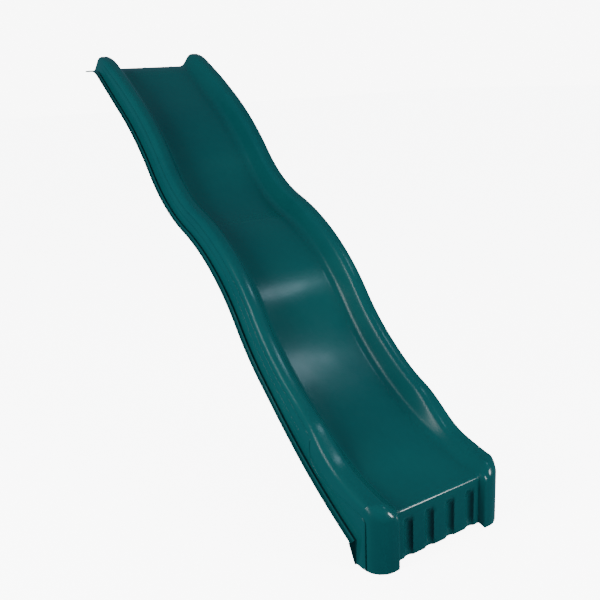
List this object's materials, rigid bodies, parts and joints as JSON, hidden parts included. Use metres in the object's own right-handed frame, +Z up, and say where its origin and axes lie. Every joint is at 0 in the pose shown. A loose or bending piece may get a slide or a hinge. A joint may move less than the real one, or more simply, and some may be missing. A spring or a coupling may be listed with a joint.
{
  "type": "wave slide",
  "caption": "One-piece moulded play slide with a double wave, rolled side rails and ribbed exit feet, screwed to the edge of a play deck.",
  "frame": {"origin": "middle of the upper lip's underside, where it lies on the deck board; the ground is 1219 mm below", "axes": "+Z up, +Y from the exit back towards the deck, X across with the symmetry plane at x = 0"},
  "size_m": [0.474, 1.7266, 1.2715],
  "materials": {
    "moulded_plastic": "deep teal-green polyethylene, semi-gloss from the mould, fine grain",
    "plated_screw": "zinc plated",
    "plated_washer": "zinc plated"
  },
  "bodies": {
    "root": {"slide_moulding": "moulded_plastic", "deck_screws": "plated_screw", "screw_washers": "plated_washer"}
  },
  "joints": []
}
